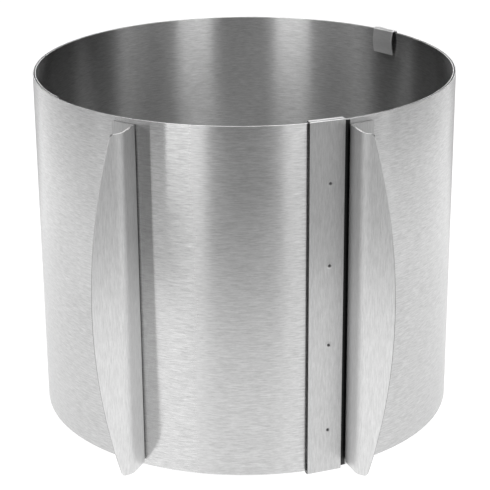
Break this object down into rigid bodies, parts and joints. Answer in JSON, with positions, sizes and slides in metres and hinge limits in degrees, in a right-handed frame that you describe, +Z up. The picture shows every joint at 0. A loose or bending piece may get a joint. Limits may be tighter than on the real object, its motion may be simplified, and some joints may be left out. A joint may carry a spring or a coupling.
{
  "type": "adjustable cake ring",
  "caption": "Adjustable cake ring of brushed steel: a coiled strip that slides through a guide plate, with finger handles at the front and a rim clip.",
  "frame": {"origin": "middle of the ring's box, with its handles, at the foot", "axes": "+Z up, -Y towards the front with the two handles, +X to the right seen from the front"},
  "size_m": [0.181, 0.1886, 0.152],
  "materials": {
    "strip_steel": "brushed along the strip",
    "plate_steel": "brushed upright",
    "handle_steel": "brushed upright",
    "clip_steel": "satin"
  },
  "bodies": {
    "handle_seat": {"band_handle_seat": "strip_steel", "left_handle": "handle_steel"},
    "outer_end": {"band_outer_end": "strip_steel", "guide_plate": "plate_steel", "right_handle": "handle_steel"},
    "outer_01": {"band_outer_01": "strip_steel"},
    "outer_02": {"band_outer_02": "strip_steel"},
    "outer_03": {"band_outer_03": "strip_steel"},
    "outer_04": {"band_outer_04": "strip_steel"},
    "outer_05": {"band_outer_05": "strip_steel"},
    "outer_06": {"band_outer_06": "strip_steel"},
    "outer_07": {"band_outer_07": "strip_steel"},
    "outer_08": {"band_outer_08": "strip_steel"},
    "outer_09": {"band_outer_09": "strip_steel"},
    "outer_10": {"band_outer_10": "strip_steel"},
    "outer_11": {"band_outer_11": "strip_steel"},
    "outer_12": {"band_outer_12": "strip_steel"},
    "outer_13": {"band_outer_13": "strip_steel"},
    "outer_14": {"band_outer_14": "strip_steel"},
    "outer_15": {"band_outer_15": "strip_steel"},
    "outer_16": {"band_outer_16": "strip_steel"},
    "outer_17": {"band_outer_17": "strip_steel"},
    "outer_18": {"band_outer_18": "strip_steel"},
    "outer_19": {"band_outer_19": "strip_steel"},
    "inner_01": {"band_inner_01": "strip_steel"},
    "inner_02": {"band_inner_02": "strip_steel"},
    "inner_03": {"band_inner_03": "strip_steel"},
    "inner_04": {"band_inner_04": "strip_steel"},
    "inner_05": {"band_inner_05": "strip_steel"},
    "inner_06": {"band_inner_06": "strip_steel"},
    "inner_07": {"band_inner_07": "strip_steel"},
    "inner_08": {"band_inner_08": "strip_steel"},
    "inner_09": {"band_inner_09": "strip_steel"},
    "inner_10": {"band_inner_10": "strip_steel"},
    "inner_11": {"band_inner_11": "strip_steel"},
    "inner_12": {"band_inner_12": "strip_steel"},
    "inner_13": {"band_inner_13": "strip_steel"},
    "inner_14": {"band_inner_14": "strip_steel"},
    "inner_15": {"band_inner_15": "strip_steel"},
    "inner_16": {"band_inner_16": "strip_steel"},
    "inner_17": {"band_inner_17": "strip_steel"},
    "inner_18": {"band_inner_18": "strip_steel"},
    "inner_19": {"band_inner_19": "strip_steel"},
    "inner_20": {"band_inner_20": "strip_steel"},
    "inner_21": {"band_inner_21": "strip_steel"},
    "clip": {"rim_clip": "clip_steel"}
  },
  "joints": [
    {"name": "outer_19_flex", "type": "hinge", "parent": "handle_seat", "child": "outer_19", "pos_m": [-0.05364, -0.06855, 0], "axis": [0, 0, -1], "range_deg": [-5.32, 1.72]},
    {"name": "outer_18_flex", "type": "hinge", "parent": "outer_19", "child": "outer_18", "pos_m": [-0.07068, -0.05214, 0], "axis": [0, 0, -1], "range_deg": [-6, 1.94]},
    {"name": "outer_17_flex", "type": "hinge", "parent": "outer_18", "child": "outer_17", "pos_m": [-0.08287, -0.03185, 0], "axis": [0, 0, -1], "range_deg": [-6, 1.94]},
    {"name": "outer_16_flex", "type": "hinge", "parent": "outer_17", "child": "outer_16", "pos_m": [-0.08935, -0.00908, 0], "axis": [0, 0, -1], "range_deg": [-6, 1.94]},
    {"name": "outer_15_flex", "type": "hinge", "parent": "outer_16", "child": "outer_15", "pos_m": [-0.08966, 0.0146, 0], "axis": [0, 0, -1], "range_deg": [-6, 1.94]},
    {"name": "outer_14_flex", "type": "hinge", "parent": "outer_15", "child": "outer_14", "pos_m": [-0.08379, 0.03756, 0], "axis": [0, 0, -1], "range_deg": [-5.99, 1.94]},
    {"name": "outer_13_flex", "type": "hinge", "parent": "outer_14", "child": "outer_13", "pos_m": [-0.07213, 0.0582, 0], "axis": [0, 0, -1], "range_deg": [-5.99, 1.94]},
    {"name": "outer_12_flex", "type": "hinge", "parent": "outer_13", "child": "outer_12", "pos_m": [-0.05549, 0.0751, 0], "axis": [0, 0, -1], "range_deg": [-5.99, 1.94]},
    {"name": "outer_11_flex", "type": "hinge", "parent": "outer_12", "child": "outer_11", "pos_m": [-0.035, 0.08708, 0], "axis": [0, 0, -1], "range_deg": [-5.99, 1.94]},
    {"name": "outer_10_flex", "type": "hinge", "parent": "outer_11", "child": "outer_10", "pos_m": [-0.0121, 0.0933, 0], "axis": [0, 0, -1], "range_deg": [-5.98, 1.93]},
    {"name": "outer_09_flex", "type": "hinge", "parent": "outer_10", "child": "outer_09", "pos_m": [0.01165, 0.09334, 0], "axis": [0, 0, -1], "range_deg": [-5.98, 1.93]},
    {"name": "outer_08_flex", "type": "hinge", "parent": "outer_09", "child": "outer_08", "pos_m": [0.03459, 0.08718, 0], "axis": [0, 0, -1], "range_deg": [-5.98, 1.93]},
    {"name": "outer_07_flex", "type": "hinge", "parent": "outer_08", "child": "outer_07", "pos_m": [0.05515, 0.07525, 0], "axis": [0, 0, -1], "range_deg": [-5.98, 1.93]},
    {"name": "outer_06_flex", "type": "hinge", "parent": "outer_07", "child": "outer_06", "pos_m": [0.07189, 0.05836, 0], "axis": [0, 0, -1], "range_deg": [-5.97, 1.93]},
    {"name": "outer_05_flex", "type": "hinge", "parent": "outer_06", "child": "outer_05", "pos_m": [0.08365, 0.03769, 0], "axis": [0, 0, -1], "range_deg": [-5.97, 1.93]},
    {"name": "outer_04_flex", "type": "hinge", "parent": "outer_05", "child": "outer_04", "pos_m": [0.08962, 0.01465, 0], "axis": [0, 0, -1], "range_deg": [-5.97, 1.93]},
    {"name": "outer_03_flex", "type": "hinge", "parent": "outer_04", "child": "outer_03", "pos_m": [0.08938, -0.00915, 0], "axis": [0, 0, -1], "range_deg": [-5.97, 1.93]},
    {"name": "outer_02_flex", "type": "hinge", "parent": "outer_03", "child": "outer_02", "pos_m": [0.08294, -0.03208, 0], "axis": [0, 0, -1], "range_deg": [-5.97, 1.93]},
    {"name": "outer_01_flex", "type": "hinge", "parent": "outer_02", "child": "outer_01", "pos_m": [0.07073, -0.05254, 0], "axis": [0, 0, -1], "range_deg": [-5.96, 1.93]},
    {"name": "outer_end_flex", "type": "hinge", "parent": "outer_01", "child": "outer_end", "pos_m": [0.05361, -0.06912, 0], "axis": [0, 0, -1], "range_deg": [-6.81, 2.2]},
    {"name": "inner_01_flex", "type": "hinge", "parent": "handle_seat", "child": "inner_01", "pos_m": [-0.0379, -0.07782, 0], "axis": [0, 0, 1], "range_deg": [-5.42, 1.75]},
    {"name": "inner_02_flex", "type": "hinge", "parent": "inner_01", "child": "inner_02", "pos_m": [-0.01451, -0.08491, 0], "axis": [0, 0, 1], "range_deg": [-6.21, 2.01]},
    {"name": "inner_03_flex", "type": "hinge", "parent": "inner_02", "child": "inner_03", "pos_m": [0.0099, -0.08544, 0], "axis": [0, 0, 1], "range_deg": [-6.22, 2.01]},
    {"name": "inner_04_flex", "type": "hinge", "parent": "inner_03", "child": "inner_04", "pos_m": [0.03355, -0.07938, 0], "axis": [0, 0, 1], "range_deg": [-6.22, 2.01]},
    {"name": "inner_05_flex", "type": "hinge", "parent": "inner_04", "child": "inner_05", "pos_m": [0.05469, -0.06718, 0], "axis": [0, 0, 1], "range_deg": [-6.22, 2.01]},
    {"name": "inner_06_flex", "type": "hinge", "parent": "inner_05", "child": "inner_06", "pos_m": [0.07174, -0.04974, 0], "axis": [0, 0, 1], "range_deg": [-6.22, 2.01]},
    {"name": "inner_07_flex", "type": "hinge", "parent": "inner_06", "child": "inner_07", "pos_m": [0.08347, -0.02837, 0], "axis": [0, 0, 1], "range_deg": [-6.23, 2.01]},
    {"name": "inner_08_flex", "type": "hinge", "parent": "inner_07", "child": "inner_08", "pos_m": [0.08901, -0.00463, 0], "axis": [0, 0, 1], "range_deg": [-6.23, 2.01]},
    {"name": "inner_09_flex", "type": "hinge", "parent": "inner_08", "child": "inner_09", "pos_m": [0.08794, 0.0197, 0], "axis": [0, 0, 1], "range_deg": [-6.23, 2.02]},
    {"name": "inner_10_flex", "type": "hinge", "parent": "inner_09", "child": "inner_10", "pos_m": [0.08037, 0.04285, 0], "axis": [0, 0, 1], "range_deg": [-6.23, 2.02]},
    {"name": "inner_11_flex", "type": "hinge", "parent": "inner_10", "child": "inner_11", "pos_m": [0.06685, 0.06308, 0], "axis": [0, 0, 1], "range_deg": [-6.24, 2.02]},
    {"name": "inner_12_flex", "type": "hinge", "parent": "inner_11", "child": "inner_12", "pos_m": [0.04839, 0.07893, 0], "axis": [0, 0, 1], "range_deg": [-6.24, 2.02]},
    {"name": "inner_13_flex", "type": "hinge", "parent": "inner_12", "child": "inner_13", "pos_m": [0.02635, 0.08921, 0], "axis": [0, 0, 1], "range_deg": [-6.24, 2.02]},
    {"name": "inner_14_flex", "type": "hinge", "parent": "inner_13", "child": "inner_14", "pos_m": [0.00237, 0.09317, 0], "axis": [0, 0, 1], "range_deg": [-6.25, 2.02]},
    {"name": "inner_15_flex", "type": "hinge", "parent": "inner_14", "child": "inner_15", "pos_m": [-0.02178, 0.09053, 0], "axis": [0, 0, 1], "range_deg": [-6.25, 2.02]},
    {"name": "inner_16_flex", "type": "hinge", "parent": "inner_15", "child": "inner_16", "pos_m": [-0.04432, 0.08149, 0], "axis": [0, 0, 1], "range_deg": [-6.25, 2.02]},
    {"name": "inner_17_flex", "type": "hinge", "parent": "inner_16", "child": "inner_17", "pos_m": [-0.06358, 0.06671, 0], "axis": [0, 0, 1], "range_deg": [-6.25, 2.02]},
    {"name": "inner_18_flex", "type": "hinge", "parent": "inner_17", "child": "inner_18", "pos_m": [-0.07815, 0.0473, 0], "axis": [0, 0, 1], "range_deg": [-6.26, 2.02]},
    {"name": "inner_19_flex", "type": "hinge", "parent": "inner_18", "child": "inner_19", "pos_m": [-0.08695, 0.0247, 0], "axis": [0, 0, 1], "range_deg": [-6.26, 2.02]},
    {"name": "inner_20_flex", "type": "hinge", "parent": "inner_19", "child": "inner_20", "pos_m": [-0.08933, 0.00058, 0], "axis": [0, 0, 1], "range_deg": [-6.26, 2.02]},
    {"name": "inner_21_flex", "type": "hinge", "parent": "inner_20", "child": "inner_21", "pos_m": [-0.08513, -0.02329, 0], "axis": [0, 0, 1], "range_deg": [-6.26, 2.03]},
    {"name": "clip_lift", "type": "slide", "parent": "outer_07", "child": "clip", "axis": [0, 0, 1], "range_m": [0, 0.015]}
  ],
  "couplings": [
    {"joint": "outer_18_flex", "follows": "outer_19_flex", "ratio": 1.1285},
    {"joint": "outer_17_flex", "follows": "outer_19_flex", "ratio": 1.1281},
    {"joint": "outer_16_flex", "follows": "outer_19_flex", "ratio": 1.1276},
    {"joint": "outer_15_flex", "follows": "outer_19_flex", "ratio": 1.1272},
    {"joint": "outer_14_flex", "follows": "outer_19_flex", "ratio": 1.1267},
    {"joint": "outer_13_flex", "follows": "outer_19_flex", "ratio": 1.1263},
    {"joint": "outer_12_flex", "follows": "outer_19_flex", "ratio": 1.1258},
    {"joint": "outer_11_flex", "follows": "outer_19_flex", "ratio": 1.1253},
    {"joint": "outer_10_flex", "follows": "outer_19_flex", "ratio": 1.1249},
    {"joint": "outer_09_flex", "follows": "outer_19_flex", "ratio": 1.1244},
    {"joint": "outer_08_flex", "follows": "outer_19_flex", "ratio": 1.124},
    {"joint": "outer_07_flex", "follows": "outer_19_flex", "ratio": 1.1235},
    {"joint": "outer_06_flex", "follows": "outer_19_flex", "ratio": 1.1231},
    {"joint": "outer_05_flex", "follows": "outer_19_flex", "ratio": 1.1226},
    {"joint": "outer_04_flex", "follows": "outer_19_flex", "ratio": 1.1222},
    {"joint": "outer_03_flex", "follows": "outer_19_flex", "ratio": 1.1217},
    {"joint": "outer_02_flex", "follows": "outer_19_flex", "ratio": 1.1213},
    {"joint": "outer_01_flex", "follows": "outer_19_flex", "ratio": 1.1208},
    {"joint": "outer_end_flex", "follows": "outer_19_flex", "ratio": 1.2797},
    {"joint": "inner_01_flex", "follows": "outer_19_flex", "ratio": 1.0196},
    {"joint": "inner_02_flex", "follows": "outer_19_flex", "ratio": 1.1681},
    {"joint": "inner_03_flex", "follows": "outer_19_flex", "ratio": 1.1685},
    {"joint": "inner_04_flex", "follows": "outer_19_flex", "ratio": 1.169},
    {"joint": "inner_05_flex", "follows": "outer_19_flex", "ratio": 1.1695},
    {"joint": "inner_06_flex", "follows": "outer_19_flex", "ratio": 1.17},
    {"joint": "inner_07_flex", "follows": "outer_19_flex", "ratio": 1.1705},
    {"joint": "inner_08_flex", "follows": "outer_19_flex", "ratio": 1.171},
    {"joint": "inner_09_flex", "follows": "outer_19_flex", "ratio": 1.1715},
    {"joint": "inner_10_flex", "follows": "outer_19_flex", "ratio": 1.172},
    {"joint": "inner_11_flex", "follows": "outer_19_flex", "ratio": 1.1725},
    {"joint": "inner_12_flex", "follows": "outer_19_flex", "ratio": 1.173},
    {"joint": "inner_13_flex", "follows": "outer_19_flex", "ratio": 1.1735},
    {"joint": "inner_14_flex", "follows": "outer_19_flex", "ratio": 1.1739},
    {"joint": "inner_15_flex", "follows": "outer_19_flex", "ratio": 1.1744},
    {"joint": "inner_16_flex", "follows": "outer_19_flex", "ratio": 1.1749},
    {"joint": "inner_17_flex", "follows": "outer_19_flex", "ratio": 1.1754},
    {"joint": "inner_18_flex", "follows": "outer_19_flex", "ratio": 1.1759},
    {"joint": "inner_19_flex", "follows": "outer_19_flex", "ratio": 1.1764},
    {"joint": "inner_20_flex", "follows": "outer_19_flex", "ratio": 1.1769},
    {"joint": "inner_21_flex", "follows": "outer_19_flex", "ratio": 1.1774}
  ]
}
